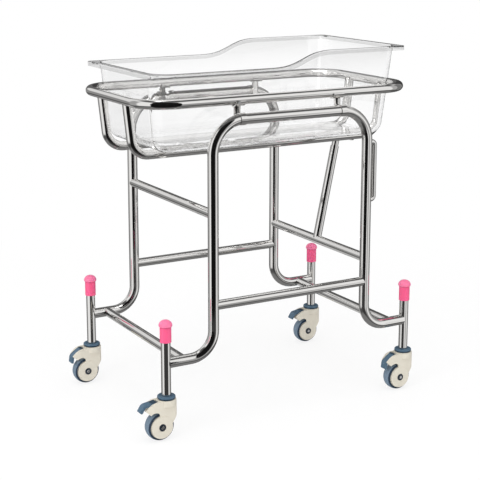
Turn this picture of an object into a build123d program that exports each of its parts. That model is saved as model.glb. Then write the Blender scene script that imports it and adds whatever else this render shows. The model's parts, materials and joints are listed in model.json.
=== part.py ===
from build123d import *
from math import cos, radians, sin, tan
import os

os.makedirs("parts", exist_ok=True)

# Millimetres. X runs along the cot, the head end at +X; Y across it; Z up from the floor.

# Tubes
frame_tube = 28
rail_tube = 25
post_tube = 25
strut_tube = 24
strut_rod = 19.8
tie_tube = 16
tube_wall = 1.5

# Layout of the frame
post_pitch_x = 746
leg_pitch_x = 470
frame_pitch_y = 480
foot_z = 200
foot_bend = 66
foot_trim = 6
top_z = 808
top_bend = 86
side_rail_z = 331
foot_cross_z = 570
head_cross_z = 397
end_bar_pitch_x = 646
post_top_z = 308

# Caps on the posts
cap_base_z = 257
cap_wall = 2.3
cap_sleeve_h = 40
cap_dome_d = 35
cap_dome_h = 18

# Cradle
ring_rise = 45
ring_z = top_z + ring_rise
ring_length = 802
ring_inset = 29
ring_width = frame_pitch_y - 2 * ring_inset
ring_corner = 90
bar_pitch_y = 156
bar_drop = 145
bar_z = ring_z - bar_drop
bar_length = 758
bar_bend = 48
bar_lean = 16
tie_drop = 8
tie_z = bar_z - tie_drop

# Stand-offs between the top bars and the ring
standoff_pitch_x = 304
standoff_d = 18
standoff_inset = 24
clamp_wall = 1.8
clamp_w = 17
clamp_lug_h = 22
saddle_length = 32
saddle_wall = 3
pivot_drop = 5
pivot_pin_d = 6
pivot_head_d = 10
pivot_head_h = 2
tilt_range = 12

# Strut
strut_reach_x = 65
strut_overlap = 110
strut_tube_gap = 22
strut_head_wall = 4.7
strut_head_w = 16

# Rod on the leg
leg_rod_d = 14
leg_rod_z = 638
leg_rod_h = 172
leg_rod_offset = 24
leg_rod_bend = 10

# Basin
basin_wall = 4
basin_floor_length = 692
basin_floor_width = 354
basin_floor_corner = 50
basin_floor_round = 36
basin_rim_length = 742
basin_rim_width = 401
basin_rim_corner = 60
basin_low_rise = 73
basin_high_rise = 112
basin_low_z = ring_z + basin_low_rise
basin_high_z = ring_z + basin_high_rise
rim_step_start = -30
rim_step_end = 143
lip_length = 766
lip_width = 410
lip_corner = 14
lip_thick = 2.8
lip_skirt = 9

# Caster, about its swivel axis
wheel_d = 75
tread_w = 30
core_d = 62
core_web_w = 12
caster_trail = 21
collar_d = 47
collar_h = 9
collar_top_z = 116
housing_w = 37.2
housing_front = 24
housing_step = 2
hub_disc_d = 59
hub_disc_step = 1
nose_rise = 7
notch_back = 6
notch_side_rise = 20
notch_rise = 36
notch_middle = (-18, 42)
neck_d = 50
neck_h = 16
king_pin_d = 12
king_pin_h = 22
stem_h = 38
bush_d = 14
bush_flange_d = 19
axle_bolt_d = 8
axle_head_d = 9.5
fender_reach = 43
fender_rise = 48
fender_taper = 6
brake_channel_r = 50
pedal_x = -35
pedal_z = 97.5
pedal_w = 20
pedal_hub_d = 16
pedal_pin_d = 4
pedal_thick = 7
pedal_knee = (-29.5, -7)
pedal_tip = (-36, -25)
pedal_bend = 9
pedal_swing = 26

# Clearances
seat_gap = 0.3
run_gap = 0.1
swivel_gap = 0.5
slot_gap = 0.5
fork_gap = 0.6
wheel_gap = 2

frame_r = frame_tube / 2
rail_r = rail_tube / 2
post_r = post_tube / 2
wheel_r = wheel_d / 2


def tube_section(plane, outer, wall=tube_wall):
    """Section of a round tube."""
    with BuildSketch(plane) as section:
        Circle(outer / 2)
        Circle(outer / 2 - wall, mode=Mode.SUBTRACT)
    return section.sketch


def tube_between(start, end, outer, wall=tube_wall):
    """Straight round tube from one point to another."""
    run = Vector(*end) - Vector(*start)
    extrude(tube_section(Plane(origin=start, z_dir=run), outer, wall), amount=run.length)


def round_bar(start, end, diameter, mode=Mode.ADD):
    """Round bar, or the room for one, from one point to another."""
    run = Vector(*end) - Vector(*start)
    with BuildSketch(Plane(origin=start, z_dir=run)) as section:
        Circle(diameter / 2)
    extrude(section.sketch, amount=run.length, mode=mode)


def write(part, name):
    part.label = name
    export_step(part, f"parts/{name}.step")


# Caster, seen from the side with its wheel trailing towards -X
axle_x = -caster_trail
axle_z = wheel_r
housing_top_z = collar_top_z - collar_h - swivel_gap
half_w = housing_w / 2
disc_face = half_w + hub_disc_step
disc_r = hub_disc_d / 2
fork_inner = tread_w / 2 + fork_gap
channel_half = pedal_w / 2 + slot_gap
pin_reach = half_w - 3
fender_tip = (axle_x - fender_reach, axle_z + fender_rise)
notch_foot = (axle_x - notch_back, axle_z + notch_rise)
notch_end = (axle_x - disc_r, axle_z + notch_rise)
brow = (pedal_x + 15, housing_top_z - housing_step)


def across(diameter, half_width, x=axle_x, z=axle_z, mode=Mode.ADD):
    """Round bar along Y, centred on the caster's middle plane."""
    round_bar((x, -half_width, z), (x, half_width, z), diameter, mode)


# Housing: a fork with a disc round each end of the axle, a neck and a fender over the wheel
with BuildPart() as housing:
    with BuildSketch(Plane.XZ):
        with BuildLine():
            Polyline(
                brow,
                (housing_front, brow[1]),
                (housing_front, axle_z + disc_r),
                (axle_x + disc_r, axle_z + nose_rise),
                (axle_x, axle_z),
                (axle_x - notch_back, axle_z + notch_side_rise),
                notch_foot,
            )
            ThreePointArc(notch_foot, (axle_x + notch_middle[0], axle_z + notch_middle[1]), notch_end)
            Line(notch_end, fender_tip)
            ThreePointArc(fender_tip, (pedal_x - 10, pedal_z + 3), brow)
        make_face()
    extrude(amount=half_w, both=True)
    with BuildSketch() as plan:
        with BuildLine():
            Polyline(
                (housing_front, -half_w),
                (housing_front, half_w),
                (axle_x - 22, half_w),
                (axle_x - fender_reach - 1, half_w - fender_taper),
                (axle_x - fender_reach - 1, fender_taper - half_w),
                (axle_x - 22, -half_w),
                (housing_front, -half_w),
            )
        make_face()
        fillet(plan.vertices().group_by(Axis.X)[-1], 11)
        fillet(plan.vertices().group_by(Axis.X)[0], 5)
    extrude(amount=housing_top_z, mode=Mode.INTERSECT)
    with BuildSketch(Plane.XY.offset(housing_top_z)):
        Circle(neck_d / 2)
    extrude(amount=-neck_h)
    across(hub_disc_d, disc_face)
    across(wheel_d + 2 * wheel_gap, fork_inner, mode=Mode.SUBTRACT)
    with BuildSketch(Plane.XZ):
        with Locations((pedal_x + pedal_hub_d / 2 + slot_gap, housing_top_z)):
            Rectangle(90, 90, align=(Align.MAX, Align.CENTER))
        with Locations((axle_x, axle_z)):
            Circle(brake_channel_r, mode=Mode.SUBTRACT)
    extrude(amount=channel_half, both=True, mode=Mode.SUBTRACT)
    across(pedal_pin_d + 2 * run_gap, pin_reach, pedal_x, pedal_z, Mode.SUBTRACT)
    across(bush_d, disc_face, mode=Mode.SUBTRACT)
    with BuildSketch(Plane.XY.offset(housing_top_z)):
        Circle(king_pin_d / 2 + run_gap)
    extrude(amount=-king_pin_h - 2, mode=Mode.SUBTRACT)

# Swivel collar, with a stem up into the post and a king pin down into the housing
collar_base_z = collar_top_z - collar_h
post_base_z = collar_top_z - 1.6
with BuildPart() as swivel_collar:
    with BuildSketch(Plane.XZ):
        with BuildLine():
            Polyline(
                (0, housing_top_z - king_pin_h),
                (king_pin_d / 2, housing_top_z - king_pin_h),
                (king_pin_d / 2, collar_base_z),
                (collar_d / 2 - 1.5, collar_base_z),
                (collar_d / 2 - 1.5, collar_base_z + 2.5),
                (collar_d / 2, collar_base_z + 3),
                (collar_d / 2, collar_top_z - 2.4),
                (collar_d / 2 - 1.6, collar_top_z - 0.8),
                (post_r + 3.6, collar_top_z),
                (post_r + 1.2, post_base_z),
                (post_r - tube_wall, post_base_z),
                (post_r - tube_wall, post_base_z + stem_h - 2),
                (post_r - tube_wall - 2, post_base_z + stem_h),
                (0, post_base_z + stem_h),
                close=True,
            )
        make_face()
    revolve(axis=Axis.Z)

# Wheel: a core with a web between hub and rim, and a crowned tread moulded round it
core_half = tread_w / 2 - 1
with BuildPart() as wheel_core:
    across(core_d, core_half)
    for side in (-1, 1):
        with BuildSketch(Plane.XZ.offset(side * core_half)):
            with Locations((axle_x, axle_z)):
                Circle(core_d / 2 - 3)
                Circle(bush_d / 2 + 4, mode=Mode.SUBTRACT)
        extrude(amount=side * (core_web_w / 2 - core_half), mode=Mode.SUBTRACT)
    across(bush_d + 2 * run_gap, core_half, mode=Mode.SUBTRACT)

with BuildPart() as tread:
    with BuildSketch(Plane.XY.offset(axle_z)):
        with BuildLine():
            Polyline(
                (axle_x - wheel_r + 1.6, 4 - tread_w / 2),
                (axle_x - wheel_r + 4, -tread_w / 2),
                (axle_x - core_d / 2, -tread_w / 2),
                (axle_x - core_d / 2, tread_w / 2),
                (axle_x - wheel_r + 4, tread_w / 2),
                (axle_x - wheel_r + 1.6, tread_w / 2 - 4),
            )
            ThreePointArc(
                (axle_x - wheel_r + 1.6, tread_w / 2 - 4),
                (axle_x - wheel_r, 0),
                (axle_x - wheel_r + 1.6, 4 - tread_w / 2),
            )
        make_face()
    revolve(axis=Axis((axle_x, 0, axle_z), (0, 1, 0)))

# Axle bush with a flange outside each disc, and the bolt through it
flange_face = disc_face + 1
with BuildPart() as axle_bush:
    across(bush_d, disc_face)
    for side in (-1, 1):
        round_bar(
            (axle_x, side * disc_face, axle_z), (axle_x, side * flange_face, axle_z), bush_flange_d
        )
    across(axle_bolt_d, flange_face, mode=Mode.SUBTRACT)

with BuildPart() as axle_bolt:
    across(axle_bolt_d, flange_face)
    for side in (-1, 1):
        round_bar(
            (axle_x, side * flange_face, axle_z),
            (axle_x, side * (flange_face + 2), axle_z),
            axle_head_d,
        )
    bolt_rims = axle_bolt.edges().filter_by(GeomType.CIRCLE).group_by(Axis.Y)
    chamfer(bolt_rims[0] + bolt_rims[-1], 1)


def make_pedal(angle):
    """Brake pedal turned about its pin by an angle; a positive angle is down."""
    turn = radians(angle)
    side_view = Plane(
        origin=(pedal_x, 0, pedal_z), x_dir=(cos(turn), 0, sin(turn)), z_dir=(0, -1, 0)
    )
    arm_z = (pedal_hub_d - pedal_thick) / 2
    with BuildPart() as pedal:
        with BuildSketch(side_view) as outline:
            with BuildLine():
                FilletPolyline((0, arm_z), pedal_knee, pedal_tip, radius=pedal_bend)
            trace(line_width=pedal_thick)
            fillet(outline.vertices().group_by(Axis.Y)[0] + outline.vertices().group_by(Axis.Y)[1], 2.4)
            Circle(pedal_hub_d / 2)
        extrude(amount=pedal_w / 2, both=True)
        with BuildSketch(side_view):
            Circle(pedal_pin_d / 2)
        extrude(amount=pin_reach - slot_gap, both=True)
    return pedal.part


pedal_up = make_pedal(-pedal_swing / 2)
pedal_down = make_pedal(pedal_swing / 2)

# A raised pedal reaches furthest at the foot end, so the frame's middle stands off the origin
ring_end = ring_length / 2 + rail_r
foot_reach = post_pitch_x / 2 - pedal_up.bounding_box().min.X
frame_x = (foot_reach - ring_end) / 2

leg_x = leg_pitch_x / 2
post_x = post_pitch_x / 2
frame_y = frame_pitch_y / 2
ends = {"foot": -1, "head": 1}
sides = {"right": -1, "left": 1}

# Corner post between the caster and its cap
with BuildPart() as post:
    tube_between((0, 0, post_base_z), (0, 0, post_top_z), post_tube)

# Push-on cap: a sleeve with a mushroom head
cap_neck_z = cap_base_z + cap_sleeve_h
with BuildPart() as cap:
    with BuildSketch(Plane.XZ):
        with BuildLine():
            Polyline(
                (0, cap_neck_z + cap_dome_h),
                (0, post_top_z),
                (post_r, post_top_z),
                (post_r, cap_base_z),
                (post_r + cap_wall, cap_base_z),
                (post_r + cap_wall, cap_neck_z - 2),
                (post_r + cap_wall - 0.8, cap_neck_z),
                (cap_dome_d / 2 - 1, cap_neck_z + 1),
                (cap_dome_d / 2, cap_neck_z + 3),
            )
            Spline(
                (cap_dome_d / 2, cap_neck_z + 3),
                (cap_dome_d / 2 - 4.5, cap_neck_z + cap_dome_h - 4.5),
                (0, cap_neck_z + cap_dome_h),
                tangents=((0, 1), (-1, 0)),
            )
        make_face()
    revolve(axis=Axis.Z)

pedals = {"foot_right": pedal_up, "foot_left": pedal_down, "head_right": pedal_down, "head_left": pedal_up}
corner_parts = {
    "caster_housing": housing,
    "swivel_collar": swivel_collar,
    "wheel_core": wheel_core,
    "wheel_tread": tread,
    "axle_bush": axle_bush,
    "axle_bolt": axle_bolt,
    "corner_post": post,
    "post_cap": cap,
}
for end_name, end in ends.items():
    for side_name, side in sides.items():
        corner = f"{end_name}_{side_name}"
        at_post = Location((frame_x + end * post_x, side * frame_y, 0))
        for name, piece in corner_parts.items():
            write(piece.part.moved(at_post), f"{name}_{corner}")
        write(pedals[corner].moved(at_post), f"brake_pedal_{corner}")

# Side frames, each one bent tube between two posts, with a rail between its legs
frame_rooms = {}
for side_name, side in sides.items():
    with BuildPart() as frame_room:
        with BuildLine(Plane.XZ.offset(-side * frame_y)) as bend:
            FilletPolyline(
                (frame_x - post_x + foot_trim, foot_z),
                (frame_x - leg_x, foot_z),
                (frame_x - leg_x, top_z),
                (frame_x + leg_x, top_z),
                (frame_x + leg_x, foot_z),
                (frame_x + post_x - foot_trim, foot_z),
                radius=[foot_bend, top_bend, top_bend, foot_bend],
            )
        with BuildSketch(Plane(origin=bend.line @ 0, z_dir=bend.line % 0)):
            Circle(frame_r)
        sweep(path=bend.line)
    frame_rooms[side_name] = frame_room.part

    with BuildPart() as side_frame:
        start = Plane(origin=bend.line @ 0, z_dir=bend.line % 0)
        sweep(tube_section(start, frame_tube), path=bend.line)
        for end in (-1, 1):
            foot = (frame_x + end * post_x, side * frame_y)
            round_bar((*foot, post_base_z), (*foot, post_top_z), post_tube, Mode.SUBTRACT)
    write(side_frame.part, f"side_frame_{side_name}")

    with BuildPart() as side_rail:
        tube_between(
            (frame_x - leg_x, side * frame_y, side_rail_z),
            (frame_x + leg_x, side * frame_y, side_rail_z),
            rail_tube,
        )
        for end in (-1, 1):
            leg = (frame_x + end * leg_x, side * frame_y)
            round_bar((*leg, foot_z), (*leg, top_z), frame_tube, Mode.SUBTRACT)
    write(side_rail.part, f"side_rail_{side_name}")

# Bars across the width: one between the legs and one low down at each end
cross_heights = {"foot": foot_cross_z, "head": head_cross_z}
for end_name, end in ends.items():
    cross_x = frame_x + end * leg_x
    cross_z = cross_heights[end_name]
    with BuildPart() as cross_bar:
        tube_between((cross_x, -frame_y, cross_z), (cross_x, frame_y, cross_z), rail_tube)
        for side in (-1, 1):
            leg = (cross_x, side * frame_y)
            round_bar((*leg, foot_z), (*leg, top_z), frame_tube, Mode.SUBTRACT)
    write(cross_bar.part, f"cross_bar_{end_name}")

    bar_x = frame_x + end * end_bar_pitch_x / 2
    with BuildPart() as end_bar:
        tube_between((bar_x, -frame_y, foot_z), (bar_x, frame_y, foot_z), rail_tube)
        for side in (-1, 1):
            round_bar(
                (bar_x - rail_tube, side * frame_y, foot_z),
                (bar_x + rail_tube, side * frame_y, foot_z),
                frame_tube,
                Mode.SUBTRACT,
            )
    write(end_bar.part, f"end_bar_{end_name}")

# D-shaped rod on the head-end right leg
rod_x = frame_x + leg_x
rod_half = (leg_rod_h - leg_rod_d) / 2
with BuildPart() as leg_rod:
    with BuildLine(Plane.XZ.offset(frame_y)) as bend:
        FilletPolyline(
            (rod_x, leg_rod_z - rod_half),
            (rod_x + leg_rod_offset, leg_rod_z - rod_half),
            (rod_x + leg_rod_offset, leg_rod_z + rod_half),
            (rod_x, leg_rod_z + rod_half),
            radius=leg_rod_bend,
        )
    with BuildSketch(Plane(origin=bend.line @ 0, z_dir=bend.line % 0)):
        Circle(leg_rod_d / 2)
    sweep(path=bend.line)
    round_bar((rod_x, -frame_y, foot_z), (rod_x, -frame_y, top_z), frame_tube, Mode.SUBTRACT)
write(leg_rod.part, "leg_rod")

# Cradle ring, cross drilled for the two pivot pins
stand_off_x = standoff_pitch_x / 2
ring_y = ring_width / 2
pivot_x = frame_x - stand_off_x
pivot_z = ring_z - pivot_drop
with BuildPart() as cradle_ring:
    with BuildLine(Plane.XY.offset(ring_z)) as bend:
        FilletPolyline(
            (frame_x, -ring_y),
            (frame_x + ring_length / 2, -ring_y),
            (frame_x + ring_length / 2, ring_y),
            (frame_x, ring_y),
            radius=ring_corner,
        )
    start = Plane(origin=bend.line @ 0, z_dir=bend.line % 0)
    sweep(tube_section(start, rail_tube), path=bend.line)
    mirror(about=Plane.YZ.offset(frame_x))
    for side in (-1, 1):
        round_bar(
            (pivot_x, side * (ring_y - rail_r), pivot_z),
            (pivot_x, side * (ring_y + rail_r), pivot_z),
            pivot_pin_d + 2 * run_gap,
            Mode.SUBTRACT,
        )
write(cradle_ring.part, "cradle_ring")

# Cradle bars, hung from the ring's two ends
for side_name, side in sides.items():
    bar_y = side * bar_pitch_y / 2
    with BuildPart() as cradle_bar:
        with BuildLine(Plane.XZ.offset(-bar_y)) as bend:
            FilletPolyline(
                (frame_x - bar_length / 2 - bar_lean, ring_z),
                (frame_x - bar_length / 2, bar_z),
                (frame_x + bar_length / 2, bar_z),
                (frame_x + bar_length / 2 + bar_lean, ring_z),
                radius=bar_bend,
            )
        start = Plane(origin=bend.line @ 0, z_dir=bend.line % 0)
        sweep(tube_section(start, rail_tube), path=bend.line)
        for end in (-1, 1):
            ring_x = frame_x + end * ring_length / 2
            round_bar(
                (ring_x, bar_y - rail_tube, ring_z),
                (ring_x, bar_y + rail_tube, ring_z),
                rail_tube,
                Mode.SUBTRACT,
            )
        split(bisect_by=Plane.XY.offset(ring_z - rail_r / 4), keep=Keep.BOTTOM)
    write(cradle_bar.part, f"cradle_bar_{side_name}")

# Tie bar between the cradle bars, held by the strut's head
tie_x = rod_x + strut_reach_x
bar_y = bar_pitch_y / 2
with BuildPart() as tie_bar:
    tube_between((tie_x, -bar_y, tie_z), (tie_x, bar_y, tie_z), tie_tube)
    for side in (-1, 1):
        round_bar(
            (tie_x - rail_tube, side * bar_y, bar_z),
            (tie_x + rail_tube, side * bar_y, bar_z),
            rail_tube,
            Mode.SUBTRACT,
        )
write(tie_bar.part, "tie_bar")

# The strut points at the tie bar, which swings through a shallow arc as the cradle tilts
strut_foot = Vector(rod_x, 0, head_cross_z)
tie_point = Vector(tie_x, 0, tie_z)
strut_axis = (tie_point - strut_foot).normalized()
strut_across = Vector(strut_axis.Z, 0, -strut_axis.X)
pivot_point = Vector(pivot_x, 0, pivot_z)


def tie_travel(angle):
    """Where a tilt takes the tie bar, from its place at rest."""
    arm = tie_point - pivot_point
    return arm.rotate(Axis.Y, -angle) - arm


drifts = [tie_travel(tilt_range * step / 4).dot(strut_across) for step in range(5)]
strut_travel = tie_travel(tilt_range).dot(strut_axis)
slot_r = tie_tube / 2 + seat_gap
head_r = slot_r + strut_head_wall
tube_end = tie_point - strut_axis * (head_r + strut_tube_gap)
rod_end = tube_end - strut_axis * (strut_travel + strut_overlap)

with BuildPart() as strut_sleeve:
    tube_between(strut_foot, tube_end, strut_tube, (strut_tube - strut_rod) / 2 - run_gap)
    round_bar(
        (rod_x, -rail_tube, head_cross_z), (rod_x, rail_tube, head_cross_z), rail_tube, Mode.SUBTRACT
    )
write(strut_sleeve.part, "strut_tube")

# Strut rod: its slotted head lets the tie bar drift across the strut's axis
with BuildPart() as strut_slider:
    round_bar(rod_end, tie_point - strut_axis * (head_r - 3), strut_rod)
    chamfer(strut_slider.edges().filter_by(GeomType.CIRCLE).sort_by(Axis.Z)[0], 1)
    head_view = Plane(origin=tie_point, x_dir=strut_across, z_dir=(0, -1, 0))
    slot_length = max(drifts) - min(drifts)
    for radius, mode in ((head_r, Mode.ADD), (slot_r, Mode.SUBTRACT)):
        with BuildSketch(head_view):
            with Locations(((max(drifts) + min(drifts)) / 2, 0)):
                SlotCenterToCenter(slot_length, 2 * radius)
        extrude(amount=strut_head_w / 2 + (1 if mode == Mode.SUBTRACT else 0), both=True, mode=mode)
write(strut_slider.part, "strut_rod")

# Stand-offs: a clamp round the top bar with a short post beside it, up to the ring's seat
stand_y = frame_y - standoff_inset
tilt = radians(tilt_range)
pivot_floor = (
    pivot_z - (rail_r - pivot_drop) / cos(tilt) - saddle_length / 2 * tan(tilt) - slot_gap
)
saddle_floor = ring_z - rail_r - seat_gap
cheek_outer = rail_r + slot_gap + saddle_wall
for end_name, end in ends.items():
    for side_name, side in sides.items():
        stand_x = frame_x + end * stand_off_x
        rail_y = side * ring_y
        seat_z = pivot_floor if end < 0 else saddle_floor
        with BuildPart() as standoff:
            with BuildSketch(Plane.YZ.offset(stand_x - clamp_w / 2)):
                with Locations((side * frame_y, top_z)):
                    Circle(frame_r + clamp_wall)
                with Locations((side * (frame_y + stand_y) / 2, top_z)):
                    Rectangle(standoff_inset, clamp_lug_h)
            extrude(amount=clamp_w)
            round_bar(
                (stand_x, side * stand_y, top_z - clamp_lug_h / 2 - 1),
                (stand_x, side * stand_y, seat_z - saddle_wall / 2),
                standoff_d,
            )
            if end < 0:
                with BuildSketch(Plane.XZ.offset(cheek_outer - rail_y)) as cheek:
                    with Locations((stand_x, pivot_floor - saddle_wall)):
                        Rectangle(
                            saddle_length,
                            pivot_z - pivot_floor + saddle_wall + 8,
                            align=(Align.CENTER, Align.MIN),
                        )
                    fillet(cheek.vertices().group_by(Axis.Y)[-1], 8)
                extrude(amount=-2 * cheek_outer)
                with BuildSketch(Plane.YZ.offset(stand_x - saddle_length)):
                    with Locations((rail_y, pivot_floor)):
                        Rectangle(
                            rail_tube + 2 * slot_gap, rail_tube, align=(Align.CENTER, Align.MIN)
                        )
                extrude(amount=2 * saddle_length, mode=Mode.SUBTRACT)
                round_bar(
                    (stand_x, rail_y - rail_tube, pivot_z),
                    (stand_x, rail_y + rail_tube, pivot_z),
                    pivot_pin_d,
                    Mode.SUBTRACT,
                )
            else:
                with BuildSketch(Plane.YZ.offset(stand_x - saddle_length / 2)):
                    with Locations((rail_y, ring_z)):
                        Circle(rail_r + seat_gap + saddle_wall)
                        Circle(rail_r + seat_gap, mode=Mode.SUBTRACT)
                    with Locations((rail_y, ring_z - 1)):
                        Rectangle(
                            2 * rail_tube, rail_tube, align=(Align.CENTER, Align.MIN), mode=Mode.SUBTRACT
                        )
                extrude(amount=saddle_length)
            add(frame_rooms[side_name], mode=Mode.SUBTRACT)
        write(standoff.part, f"standoff_{end_name}_{side_name}")

# Pivot pins through the foot-end brackets and the ring, headed on the outside
for side_name, side in sides.items():
    with BuildPart() as pivot_pin:
        inner = side * (ring_y - cheek_outer)
        outer = side * (ring_y + cheek_outer)
        round_bar((pivot_x, inner, pivot_z), (pivot_x, outer, pivot_z), pivot_pin_d)
        round_bar(
            (pivot_x, outer, pivot_z), (pivot_x, outer + side * pivot_head_h, pivot_z), pivot_head_d
        )
        head_rims = pivot_pin.edges().filter_by(GeomType.CIRCLE).sort_by(Axis.Y)
        chamfer(head_rims[-1] if side > 0 else head_rims[0], 0.8)
    write(pivot_pin.part, f"pivot_pin_{side_name}")

# Clear basin: a tapered tub on the cradle bars, with a stepped rim and a turned-down lip
basin_floor_z = bar_z + rail_r + seat_gap


def basin_tub(inset):
    """The basin's outer body, or the room inside it when inset by the wall."""
    with BuildPart() as tub:
        for z in (basin_floor_z + inset, basin_high_z + 5):
            grow = (z - basin_floor_z) / (basin_high_z - basin_floor_z)
            with BuildSketch(Plane.XY.offset(z)):
                with Locations((frame_x, 0)):
                    RectangleRounded(
                        basin_floor_length + (basin_rim_length - basin_floor_length) * grow - 2 * inset,
                        basin_floor_width + (basin_rim_width - basin_floor_width) * grow - 2 * inset,
                        basin_floor_corner + (basin_rim_corner - basin_floor_corner) * grow - inset,
                    )
        loft(ruled=True)
        fillet(tub.faces().sort_by(Axis.Z)[0].edges(), basin_floor_round - inset)
    return tub.part


def below_rim(drop):
    """Side view of all that lies below the rim's line, lowered by the given drop."""
    low = basin_low_z - drop
    high = basin_high_z - drop
    step_from = frame_x + rim_step_start
    step_to = frame_x + rim_step_end
    middle = (step_from + step_to) / 2
    with BuildSketch(Plane.XZ) as view:
        with BuildLine():
            Polyline(
                (step_from, low),
                (frame_x - lip_length, low),
                (frame_x - lip_length, foot_z),
                (frame_x + lip_length, foot_z),
                (frame_x + lip_length, high),
                (step_to, high),
            )
            Bezier((step_from, low), (middle, low), (middle, high), (step_to, high))
        make_face()
    return view.sketch


def lip_layer(depth, plan):
    """What lies over a plan, from the rim's line down to the given depth."""
    with BuildPart() as layer:
        extrude(plan, amount=basin_high_z)
        extrude(below_rim(0), amount=lip_width, both=True, mode=Mode.INTERSECT)
        extrude(below_rim(depth), amount=lip_width, both=True, mode=Mode.SUBTRACT)
    return layer.part


with BuildSketch() as lip_plan:
    with Locations((frame_x, 0)):
        RectangleRounded(lip_length, lip_width, lip_corner)
with BuildSketch() as skirt_plan:
    with Locations((frame_x, 0)):
        RectangleRounded(lip_length, lip_width, lip_corner)
        RectangleRounded(
            lip_length - 2 * lip_thick,
            lip_width - 2 * lip_thick,
            lip_corner - lip_thick,
            mode=Mode.SUBTRACT,
        )
lip = lip_layer(lip_thick, lip_plan.sketch)
skirt = lip_layer(lip_thick + lip_skirt, skirt_plan.sketch)
tub_outer = basin_tub(0)
tub_inner = basin_tub(basin_wall)

with BuildPart() as basin:
    add(tub_outer)
    extrude(below_rim(0), amount=lip_width, both=True, mode=Mode.INTERSECT)
    add(lip)
    add(skirt)
    add(tub_inner, mode=Mode.SUBTRACT)
write(basin.part, "basin")

print(f"frame_x {frame_x:.4f}")
print(f"pivot {pivot_x:.4f} {pivot_z:.4f}")
print(f"strut axis {strut_axis.X:.6f} {strut_axis.Z:.6f} travel {strut_travel:.4f}")
print(f"drifts {[round(drift, 3) for drift in drifts]}")
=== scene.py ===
import json
import math
import bmesh
import bpy
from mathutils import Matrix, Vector


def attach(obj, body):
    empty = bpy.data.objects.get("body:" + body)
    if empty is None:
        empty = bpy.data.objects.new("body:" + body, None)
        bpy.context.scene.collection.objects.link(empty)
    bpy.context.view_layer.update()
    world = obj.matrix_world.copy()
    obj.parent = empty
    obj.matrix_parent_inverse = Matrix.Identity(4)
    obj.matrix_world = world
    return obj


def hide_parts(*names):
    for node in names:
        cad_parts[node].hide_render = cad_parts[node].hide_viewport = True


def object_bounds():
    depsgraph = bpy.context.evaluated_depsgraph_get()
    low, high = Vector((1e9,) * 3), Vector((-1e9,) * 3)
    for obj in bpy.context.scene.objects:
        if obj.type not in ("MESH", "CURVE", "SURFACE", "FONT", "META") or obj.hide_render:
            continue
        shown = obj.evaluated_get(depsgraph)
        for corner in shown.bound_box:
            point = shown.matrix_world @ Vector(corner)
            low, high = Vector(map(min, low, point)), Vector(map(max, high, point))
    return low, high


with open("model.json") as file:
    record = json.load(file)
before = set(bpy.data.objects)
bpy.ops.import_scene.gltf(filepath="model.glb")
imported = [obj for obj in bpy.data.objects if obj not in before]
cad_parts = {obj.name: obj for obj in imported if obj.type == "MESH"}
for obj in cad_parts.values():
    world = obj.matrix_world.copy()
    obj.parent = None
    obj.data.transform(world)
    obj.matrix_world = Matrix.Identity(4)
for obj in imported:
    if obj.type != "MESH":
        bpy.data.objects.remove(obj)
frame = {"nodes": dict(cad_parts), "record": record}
cadLow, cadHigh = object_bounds()
nodes = frame["nodes"]
slotOf = {entry["node"]: entry["material_slot"] for entry in frame["record"]["subparts"]}
print("loaded", len(nodes), "nodes")

# Camera, at the photograph's place
view = {
    "place": (-1.70484, -2.99201, 1.28848),
    "turn": 29.649,   # degrees to the right of +Y
    "tip": 11.904,    # degrees below level
    "lens": 95.3,
    "shiftUp": -0.1,
    "sensorWidth": 36,
    "clipEnd": 60,
}
cameraData = bpy.data.cameras.new("photoCamera")
cameraData.lens = view["lens"]
cameraData.sensor_width = view["sensorWidth"]
cameraData.shift_y = view["shiftUp"]
cameraData.clip_end = view["clipEnd"]
camera = bpy.data.objects.new("photoCamera", cameraData)
camera.location = view["place"]
camera.rotation_euler = (math.radians(90 - view["tip"]), 0, -math.radians(view["turn"]))
bpy.context.scene.collection.objects.link(camera)
bpy.context.scene.camera = camera
bpy.context.scene.view_settings.view_transform = "Standard"
print("camera set")


# Shader helpers
def newMaterial(name):
    material = bpy.data.materials.new(name)
    material.use_nodes = True
    tree = material.node_tree
    shader = tree.nodes["Principled BSDF"]
    return material, tree, shader


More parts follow.
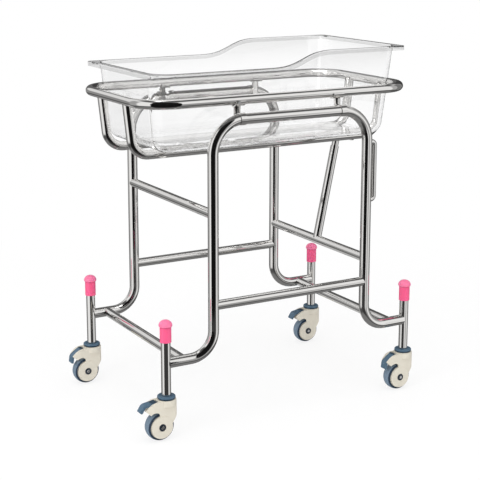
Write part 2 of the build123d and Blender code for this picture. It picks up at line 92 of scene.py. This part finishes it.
def makeSurfaceGroup():
    # uneven colour, gloss and a fine relief, shared by every moulded and polished finish
    group = bpy.data.node_groups.new("unevenSurface", "ShaderNodeTree")
    face = group.interface
    for name, value in (("Color A", None), ("Color B", None), ("Patch Scale", 6.0), ("Grain Scale", 400.0),
                        ("Rough Low", 0.2), ("Rough High", 0.3)):
        if value is None:
            face.new_socket(name, in_out="INPUT", socket_type="NodeSocketColor")
        else:
            face.new_socket(name, in_out="INPUT", socket_type="NodeSocketFloat").default_value = value
    face.new_socket("Color", in_out="OUTPUT", socket_type="NodeSocketColor")
    face.new_socket("Roughness", in_out="OUTPUT", socket_type="NodeSocketFloat")
    face.new_socket("Height", in_out="OUTPUT", socket_type="NodeSocketFloat")
    make = group.nodes.new
    start, end = make("NodeGroupInput"), make("NodeGroupOutput")
    place = make("ShaderNodeTexCoord")
    patch, grain = make("ShaderNodeTexNoise"), make("ShaderNodeTexNoise")
    patch.inputs["Detail"].default_value = 3
    grain.inputs["Detail"].default_value = 2
    tint, gloss = make("ShaderNodeMix"), make("ShaderNodeMapRange")
    tint.data_type = "RGBA"
    join = group.links.new
    for noise, scale in ((patch, "Patch Scale"), (grain, "Grain Scale")):
        join(place.outputs["Object"], noise.inputs["Vector"])
        join(start.outputs[scale], noise.inputs["Scale"])
    join(patch.outputs["Fac"], tint.inputs[0])
    join(start.outputs["Color A"], tint.inputs[6])
    join(start.outputs["Color B"], tint.inputs[7])
    join(patch.outputs["Fac"], gloss.inputs["Value"])
    join(start.outputs["Rough Low"], gloss.inputs["To Min"])
    join(start.outputs["Rough High"], gloss.inputs["To Max"])
    join(tint.outputs[2], end.inputs["Color"])
    join(gloss.outputs["Result"], end.inputs["Roughness"])
    join(grain.outputs["Fac"], end.inputs["Height"])
    return group


surfaceGroup = makeSurfaceGroup()
reliefDepth = 0.0004


def finish(name, colorA, colorB, rough, patchScale=6.0, grainScale=400.0, relief=0.02, **plain):
    # a Principled finish whose colour, gloss and relief vary by the shared group
    material, tree, shader = newMaterial(name)
    group = tree.nodes.new("ShaderNodeGroup")
    group.node_tree = surfaceGroup
    group.inputs["Color A"].default_value = (*colorA, 1)
    group.inputs["Color B"].default_value = (*colorB, 1)
    group.inputs["Patch Scale"].default_value = patchScale
    group.inputs["Grain Scale"].default_value = grainScale
    group.inputs["Rough Low"].default_value = rough[0]
    group.inputs["Rough High"].default_value = rough[1]
    bump = tree.nodes.new("ShaderNodeBump")
    bump.inputs["Strength"].default_value = relief
    bump.inputs["Distance"].default_value = reliefDepth
    tree.links.new(group.outputs["Color"], shader.inputs["Base Color"])
    tree.links.new(group.outputs["Roughness"], shader.inputs["Roughness"])
    tree.links.new(group.outputs["Height"], bump.inputs["Height"])
    tree.links.new(bump.outputs["Normal"], shader.inputs["Normal"])
    for socket, value in plain.items():
        shader.inputs[socket.replace("_", " ")].default_value = value
    return material


def addNode(tree, kind, **values):
    node = tree.nodes.new(kind)
    for name, value in values.items():
        setattr(node, name, value)
    return node


def objectAxis(tree, axis):
    # place along one axis of the piece's own coordinates
    place, parts = addNode(tree, "ShaderNodeTexCoord"), addNode(tree, "ShaderNodeSeparateXYZ")
    tree.links.new(place.outputs["Object"], parts.inputs[0])
    return parts.outputs[axis]


def awayFrom(tree, value, place):
    # how far a value lies from a place, on either side
    difference = addNode(tree, "ShaderNodeMath", operation="SUBTRACT")
    distance = addNode(tree, "ShaderNodeMath", operation="ABSOLUTE")
    tree.links.new(value, difference.inputs[0])
    difference.inputs[1].default_value = place
    tree.links.new(difference.outputs[0], distance.inputs[0])
    return distance.outputs[0]


def ramp(tree, value, start, end, low=0.0, high=1.0):
    # smooth step of a value between two places
    step = addNode(tree, "ShaderNodeMapRange", interpolation_type="SMOOTHSTEP")
    tree.links.new(value, step.inputs["Value"])
    for name, amount in (("From Min", start), ("From Max", end), ("To Min", low), ("To Max", high)):
        step.inputs[name].default_value = amount
    return step.outputs["Result"]


def combine(tree, operation, first, second):
    step = addNode(tree, "ShaderNodeMath", operation=operation)
    tree.links.new(first, step.inputs[0])
    tree.links.new(second, step.inputs[1])
    return step.outputs[0]


def tintWhere(material, mask, color):
    # lays a second colour over the finish's own where the mask is one
    tree = material.node_tree
    shader = tree.nodes["Principled BSDF"]
    base = shader.inputs["Base Color"].links[0].from_socket
    over = addNode(tree, "ShaderNodeMix", data_type="RGBA")
    tree.links.new(mask, over.inputs[0])
    tree.links.new(base, over.inputs[6])
    over.inputs[7].default_value = (*color, 1)
    tree.links.new(over.outputs[2], shader.inputs["Base Color"])


finishes = {
    "bright_tube": finish("polishedTube", (0.80, 0.79, 0.775), (0.75, 0.74, 0.725), (0.05, 0.09),
                          patchScale=9, grainScale=900, relief=0.01, Metallic=1.0),
    "steel": finish("plainSteel", (0.62, 0.62, 0.62), (0.5, 0.5, 0.5), (0.2, 0.32),
                    patchScale=60, grainScale=1500, relief=0.03, Metallic=1.0),
    "pink_cap": finish("pinkPlastic", (0.98, 0.12, 0.29), (0.94, 0.10, 0.26), (0.3, 0.38),
                       patchScale=30, relief=0.03, Subsurface_Weight=0.15, Subsurface_Scale=0.004),
    "ivory_plastic": finish("ivoryPlastic", (0.77, 0.725, 0.62), (0.73, 0.685, 0.585), (0.34, 0.42),
                            patchScale=25, grainScale=700, relief=0.05),
    "blue_grey_plastic": finish("blueGreyPlastic", (0.085, 0.155, 0.225), (0.065, 0.125, 0.19), (0.36, 0.46),
                                patchScale=30, grainScale=700, relief=0.05),
    "blue_grey_tread": finish("blueGreyTread", (0.19, 0.26, 0.34), (0.16, 0.23, 0.31), (0.5, 0.62),
                              patchScale=40, grainScale=900, relief=0.08),
    "dark_plastic": finish("darkPlastic", (0.010, 0.018, 0.032), (0.016, 0.026, 0.042), (0.35, 0.45),
                           patchScale=40, relief=0.04),
    "clear_plastic": finish("clearPlastic", (0.99, 0.99, 0.99), (0.98, 0.98, 0.98), (0.0, 0.02),
                            patchScale=4, grainScale=30, relief=0.004, Transmission_Weight=1.0, IOR=1.47),
}


def reach(name, axis):
    # lowest and highest place of a node along one axis
    places = [vertex.co[axis] for vertex in nodes[name].data.vertices]
    return min(places), max(places)


# Caps: a dome of a lighter pink over the sleeve, with a groove between them; the lighter dome is a painted
# highlight and the darker groove is painted shade
capLook = {
    "domeHeight": 0.018,
    "domeBlend": 0.002,
    "groove": 0.0016,
    "domeHighlightColor": (0.96, 0.21, 0.39),
    "grooveShadeColor": (0.55, 0.06, 0.17),
}
cap = finishes["pink_cap"]
capTree = cap.node_tree
capHeight = objectAxis(capTree, 2)
capNeck = reach("post_cap_foot_right", 2)[1] - capLook["domeHeight"]
# painted highlight: the dome is painted a lighter pink, as if lit from above
tintWhere(cap, ramp(capTree, capHeight, capNeck, capNeck + capLook["domeBlend"]), capLook["domeHighlightColor"])
# painted shade: a darker pink line along the groove between dome and sleeve
tintWhere(cap, ramp(capTree, awayFrom(capTree, capHeight, capNeck), 0, capLook["groove"], 1, 0),
          capLook["grooveShadeColor"])

# Tyres: dark sides beside the lighter tread, painted shade where the tread meets the housing
tyreLook = {"sideDepth": 0.003, "blend": 0.0012, "sideShadeColor": (0.014, 0.036, 0.07)}
tyre = finishes["blue_grey_tread"]
tyreTree = tyre.node_tree
tyreSides = reach("wheel_tread_foot_left", 1)
tyreEdge = (tyreSides[1] - tyreSides[0]) / 2 - tyreLook["sideDepth"]
fromCot = awayFrom(tyreTree, objectAxis(tyreTree, 1), 0)
fromTyre = awayFrom(tyreTree, fromCot, (tyreSides[0] + tyreSides[1]) / 2)
# painted shade: the tyre's outer sides are painted dark navy
tintWhere(tyre, ramp(tyreTree, fromTyre, tyreEdge - tyreLook["blend"], tyreEdge), tyreLook["sideShadeColor"])

# Swivel collars: a dark band of painted shade under the lip, by height
collarShadeBand = {"bandFrom": 0.104, "bandTo": 0.1105, "blend": 0.001, "color": (0.02, 0.05, 0.085)}
collar = finishes["blue_grey_plastic"]
collarTree = collar.node_tree
collarHeight = objectAxis(collarTree, 2)
overFoot = ramp(collarTree, collarHeight, collarShadeBand["bandFrom"] - collarShadeBand["blend"], collarShadeBand["bandFrom"])
underLip = ramp(collarTree, collarHeight, collarShadeBand["bandTo"], collarShadeBand["bandTo"] + collarShadeBand["blend"], 1, 0)
# painted shade: the collar is painted dark navy under its lip
tintWhere(collar, combine(collarTree, "MULTIPLY", overFoot, underLip), collarShadeBand["color"])

# Basin: greyer at its lips and rim
lipLook = {"startX": 0.366, "startY": 0.192, "blend": 0.008, "color": (0.80, 0.80, 0.80)}
clear = finishes["clear_plastic"]
clearTree = clear.node_tree
basinEnds = reach("basin", 0)
towardsEnd = awayFrom(clearTree, objectAxis(clearTree, 0), (basinEnds[0] + basinEnds[1]) / 2)
towardsSide = awayFrom(clearTree, objectAxis(clearTree, 1), 0)
endLips = ramp(clearTree, towardsEnd, lipLook["startX"], lipLook["startX"] + lipLook["blend"])
sideRims = ramp(clearTree, towardsSide, lipLook["startY"], lipLook["startY"] + lipLook["blend"])
tintWhere(clear, combine(clearTree, "MAXIMUM", endLips, sideRims), lipLook["color"])

for name, node in nodes.items():
    for slot in node.material_slots:
        slot.material = finishes[slotOf[name]]
print("finishes made")

# Foot-end stand-offs: the head-end ones' clamp and post, under a longer open saddle
saddle = {
    "moveX": -0.304,     # from the head-end stand-off's place
    "footEnd": -0.009,   # where the saddle starts and ends, from the post's middle
    "headEnd": 0.021,
    "endZone": 0.012,    # what lies farther out than this belongs to the saddle's ends
    "footDrop": 0.0019,  # room for the tilting ring at the foot end
    "mergeWithin": 1e-6,
    "sharpFrom": 35,     # degrees
}


def makeFootSaddle(side):
    mesh = nodes["standoff_head_" + side].data.copy()
    mesh.name = "footSaddle" + side.capitalize()
    shape = bmesh.new()
    shape.from_mesh(mesh)
    bmesh.ops.remove_doubles(shape, verts=shape.verts, dist=saddle["mergeWithin"])
    places = [vertex.co.x for vertex in shape.verts]
    middle = (min(places) + max(places)) / 2
    for vertex in shape.verts:
        away = vertex.co.x - middle
        if away < -saddle["endZone"]:
            away = saddle["footEnd"]
            vertex.co.z -= saddle["footDrop"]
        elif away > saddle["endZone"]:
            away = saddle["headEnd"]
        vertex.co.x = middle + saddle["moveX"] + away
    shape.to_mesh(mesh)
    shape.free()
    mesh.shade_smooth()
    mesh.set_sharp_from_angle(angle=math.radians(saddle["sharpFrom"]))
    mesh.materials.clear()
    mesh.materials.append(finishes["bright_tube"])
    piece = bpy.data.objects.new(mesh.name, mesh)
    bpy.context.scene.collection.objects.link(piece)
    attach(piece, "frame")
    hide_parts("standoff_foot_" + side)


for side in ("right", "left"):
    makeFootSaddle(side)
print("foot-end saddles made")

# Floor, studio light and the white background
studio = {
    "floorSize": 40.0,
    "floorWhite": 0.96,
    "floorRoughness": 0.9,
    "floorGlow": 0.82,     # how much of the floor's white is its own, so that shadows stay faint
    "fadeFrom": 0.6,       # the floor turns to plain white between these distances from the middle
    "fadeTo": 1.9,
    "worldDiffuse": 0.8,
    "openGrey": 0.85,      # what polished metal mirrors where no card stands
    # cards that only mirrors see, in degrees: from and to turn, right of the camera's side,
    # from and to height, then their grey and the softness of their edges
    "cards": [
        (-400, 400, -95, -24, 0.10, 5),    # floor near the object
        (-400, 400, -95, -44, 0.22, 5),    # floor under the object
        (-400, 400, 52, 95, 0.12, 8),      # ceiling
        (76, 200, 40, 95, 0.12, 8),        # ceiling, right and behind
        (-150, -105, 8, 40, 0.85, 4),      # window behind, left
        (-200, -150, -13, 44, 0.14, 6),    # wall behind
        (-152, -105, -11, 8, 0.30, 4),     # wall under the window
        (-190, -108, -24, -11, 0.12, 3),   # its foot
        (-185, -125, -42, -26, 0.55, 3),   # bright floor beyond it
        (140, 190, -30, 36, 0.06, 6),      # dark wall behind, right
        (106, 140, -26, 36, 0.22, 6),      # grey wall, right
        (84, 106, -26, 36, 0.5, 5),        # pale wall, right
        (20, 84, 4, 46, 1.0, 4),           # white panel, right
        (40, 64, -26, 4, 0.38, 4),         # its foot
        (64, 86, -26, 4, 1.0, 3),          # pale floor beside it
        (-80, -30, -26, 50, 1.0, 5),       # white panel, left
        (-112, -80, -26, 40, 0.42, 6),     # side wall, left
    ],
    # black card between the camera and the object, which only mirrors see
    "cardDistance": 0.95,
    "cardWidth": 1.3,
    "cardFrom": -0.6,
    "cardTo": 1.9,
    "cardFoot": 0.1,       # the card is grey below this height
    "cardFootBlend": 0.02,
    "cardGrey": 0.05,
    "cardBlack": 0.008,
    # lamps: place, size and watts
    "softboxes": {
        "topSoftbox": ((-0.5, -0.8, 3.6), (2.4, 2.4), 42),
        "leftSoftbox": ((-3.4, -1.6, 2.0), (1.4, 2.2), 30),
    },
    "softboxAim": (0, 0, 0.55),
}


def makeCardGroup():
    # a soft-edged card in the sky, laid over the grey behind it
    group = bpy.data.node_groups.new("softCard", "ShaderNodeTree")
    face = group.interface
    names = ("Behind", "Turn", "Height", "From Turn", "To Turn", "From Height", "To Height", "Grey", "Softness")
    for name in names:
        face.new_socket(name, in_out="INPUT", socket_type="NodeSocketFloat")
    face.new_socket("Result", in_out="OUTPUT", socket_type="NodeSocketFloat")
    make, join = group.nodes.new, group.links.new
    start, end = make("NodeGroupInput"), make("NodeGroupOutput")
    cover = None
    for value, edge, rising in (("Turn", "From Turn", 1), ("Turn", "To Turn", -1),
                                ("Height", "From Height", 1), ("Height", "To Height", -1)):
        low, high, slope = make("ShaderNodeMath"), make("ShaderNodeMath"), make("ShaderNodeMapRange")
        low.operation, high.operation = "SUBTRACT", "ADD"
        slope.interpolation_type = "SMOOTHSTEP"
        for node in (low, high):
            join(start.outputs[edge], node.inputs[0])
            join(start.outputs["Softness"], node.inputs[1])
        join(start.outputs[value], slope.inputs["Value"])
        join(low.outputs[0], slope.inputs["From Min"])
        join(high.outputs[0], slope.inputs["From Max"])
        slope.inputs["To Min"].default_value = 0 if rising > 0 else 1
        slope.inputs["To Max"].default_value = 1 if rising > 0 else 0
        if cover:
            both = make("ShaderNodeMath")
            both.operation = "MULTIPLY"
            join(cover, both.inputs[0])
            join(slope.outputs["Result"], both.inputs[1])
            cover = both.outputs[0]
        else:
            cover = slope.outputs["Result"]
    mix = make("ShaderNodeMix")
    join(cover, mix.inputs[0])
    join(start.outputs["Behind"], mix.inputs[2])
    join(start.outputs["Grey"], mix.inputs[3])
    join(mix.outputs[0], end.inputs["Result"])
    return group


def makeWorld():
    world = bpy.data.worlds.new("studioWhite")
    bpy.context.scene.world = world
    world.use_nodes = True
    tree = world.node_tree
    tree.nodes.clear()
    make, join = tree.nodes.new, tree.links.new
    rays, output = make("ShaderNodeLightPath"), make("ShaderNodeOutputWorld")
    lit, seen, mirrored = (make("ShaderNodeBackground") for _ in range(3))
    for background in (lit, seen, mirrored):
        background.inputs["Color"].default_value = (1, 1, 1, 1)
    lit.inputs["Strength"].default_value = studio["worldDiffuse"]

    # direction of a mirrored ray as a turn to the right of the camera's side, and a height
    ray = make("ShaderNodeTexCoord")
    turn = math.radians(view["turn"])
    parts = []
    for axis in ((math.cos(turn), -math.sin(turn), 0), (-math.sin(turn), -math.cos(turn), 0), (0, 0, 1)):
        dot = make("ShaderNodeVectorMath")
        dot.operation = "DOT_PRODUCT"
        dot.inputs[1].default_value = axis
        join(ray.outputs["Generated"], dot.inputs[0])
        parts.append(dot.outputs["Value"])
    angles = []
    for operation, inputs in (("ARCTAN2", (parts[0], parts[1])), ("ARCSINE", (parts[2],))):
        angle, degrees = make("ShaderNodeMath"), make("ShaderNodeMath")
        angle.operation, degrees.operation = operation, "DEGREES"
        for socket, value in zip(angle.inputs, inputs):
            join(value, socket)
        join(angle.outputs[0], degrees.inputs[0])
        angles.append(degrees.outputs[0])
    cardGroup = makeCardGroup()
    grey = None
    for card in studio["cards"]:
        node = make("ShaderNodeGroup")
        node.node_tree = cardGroup
        join(angles[0], node.inputs["Turn"])
        join(angles[1], node.inputs["Height"])
        for name, value in zip(("From Turn", "To Turn", "From Height", "To Height", "Grey", "Softness"), card):
            node.inputs[name].default_value = value
        if grey:
            join(grey, node.inputs["Behind"])
        else:
            node.inputs["Behind"].default_value = studio["openGrey"]
        grey = node.outputs["Result"]
    join(grey, mirrored.inputs["Strength"])

    plainMix, mirrorMix = make("ShaderNodeMixShader"), make("ShaderNodeMixShader")
    either = make("ShaderNodeMath")
    either.operation = "MAXIMUM"
    join(rays.outputs["Is Camera Ray"], either.inputs[0])
    join(rays.outputs["Is Transmission Ray"], either.inputs[1])
    join(rays.outputs["Is Glossy Ray"], mirrorMix.inputs["Fac"])
    join(lit.outputs[0], mirrorMix.inputs[1])
    join(mirrored.outputs[0], mirrorMix.inputs[2])
    join(either.outputs[0], plainMix.inputs["Fac"])
    join(mirrorMix.outputs[0], plainMix.inputs[1])
    join(seen.outputs[0], plainMix.inputs[2])
    join(plainMix.outputs[0], output.inputs["Surface"])


def makeFloor():
    half = studio["floorSize"] / 2
    mesh = bpy.data.meshes.new("floor")
    mesh.from_pydata([(-half, -half, 0), (half, -half, 0), (half, half, 0), (-half, half, 0)], [], [(0, 1, 2, 3)])
    floor = bpy.data.objects.new("floor", mesh)
    bpy.context.scene.collection.objects.link(floor)
    material, tree, shader = newMaterial("paleFloor")
    shader.inputs["Base Color"].default_value = (*[studio["floorWhite"]] * 3, 1)
    shader.inputs["Roughness"].default_value = studio["floorRoughness"]
    shader.inputs["Specular IOR Level"].default_value = 0.0
    make, join = tree.nodes.new, tree.links.new
    rays, glow, mix = make("ShaderNodeLightPath"), make("ShaderNodeEmission"), make("ShaderNodeMixShader")
    glow.inputs["Strength"].default_value = 1.0
    share, seen = make("ShaderNodeMath"), make("ShaderNodeMath")
    seen.operation, share.operation = "MAXIMUM", "MULTIPLY"
    join(rays.outputs["Is Camera Ray"], seen.inputs[0])
    join(rays.outputs["Is Transmission Ray"], seen.inputs[1])
    join(seen.outputs[0], share.inputs[0])
    place = addNode(tree, "ShaderNodeTexCoord")
    fromMiddle = addNode(tree, "ShaderNodeVectorMath", operation="LENGTH")
    join(place.outputs["Object"], fromMiddle.inputs[0])
    glowShare = ramp(tree, fromMiddle.outputs["Value"], studio["fadeFrom"], studio["fadeTo"],
                     studio["floorGlow"], 1)
    join(glowShare, share.inputs[1])
    join(share.outputs[0], mix.inputs["Fac"])
    join(shader.outputs[0], mix.inputs[1])
    join(glow.outputs[0], mix.inputs[2])
    join(mix.outputs[0], tree.nodes["Material Output"].inputs["Surface"])
    mesh.materials.append(material)
    floor.visible_glossy = False   # mirrors see the cards through it


def makeBlackCard():
    turn = math.radians(view["turn"])
    right = Vector((math.cos(turn), -math.sin(turn), 0))
    toCamera = Vector((-math.sin(turn), -math.cos(turn), 0))
    middle = Vector(((cadLow[0] + cadHigh[0]) / 2, 0, 0)) + toCamera * studio["cardDistance"]
    corners = []
    for side, height in ((-1, "cardFrom"), (1, "cardFrom"), (1, "cardTo"), (-1, "cardTo")):
        corner = middle + right * side * studio["cardWidth"] / 2
        corner.z = studio[height]
        corners.append(tuple(corner))
    mesh = bpy.data.meshes.new("blackCard")
    mesh.from_pydata(corners, [], [(0, 1, 2, 3)])
    card = bpy.data.objects.new("blackCard", mesh)
    bpy.context.scene.collection.objects.link(card)
    material = bpy.data.materials.new("blackCard")
    material.use_nodes = True
    tree = material.node_tree
    tree.nodes.clear()
    glow, output = addNode(tree, "ShaderNodeEmission"), addNode(tree, "ShaderNodeOutputMaterial")
    foot, blend = studio["cardFoot"], studio["cardFootBlend"]
    darkness = ramp(tree, objectAxis(tree, 2), foot - blend, foot + blend, studio["cardGrey"], studio["cardBlack"])
    tree.links.new(darkness, glow.inputs["Strength"])
    tree.links.new(glow.outputs[0], output.inputs["Surface"])
    mesh.materials.append(material)
    for kind in ("camera", "diffuse", "transmission", "volume_scatter", "shadow"):
        setattr(card, "visible_" + kind, False)


def makeSoftbox(name, place, size, power):
    data = bpy.data.lights.new(name, "AREA")
    data.shape = "RECTANGLE"
    data.size, data.size_y = size
    data.energy = power
    box = bpy.data.objects.new(name, data)
    box.location = place
    aim = Vector(studio["softboxAim"]) - Vector(place)
    box.rotation_euler = aim.to_track_quat("-Z", "Y").to_euler()
    box.visible_glossy = False
    bpy.context.scene.collection.objects.link(box)


makeWorld()
makeFloor()
makeBlackCard()
for name, (place, size, power) in studio["softboxes"].items():
    makeSoftbox(name, place, size, power)
print("studio made")
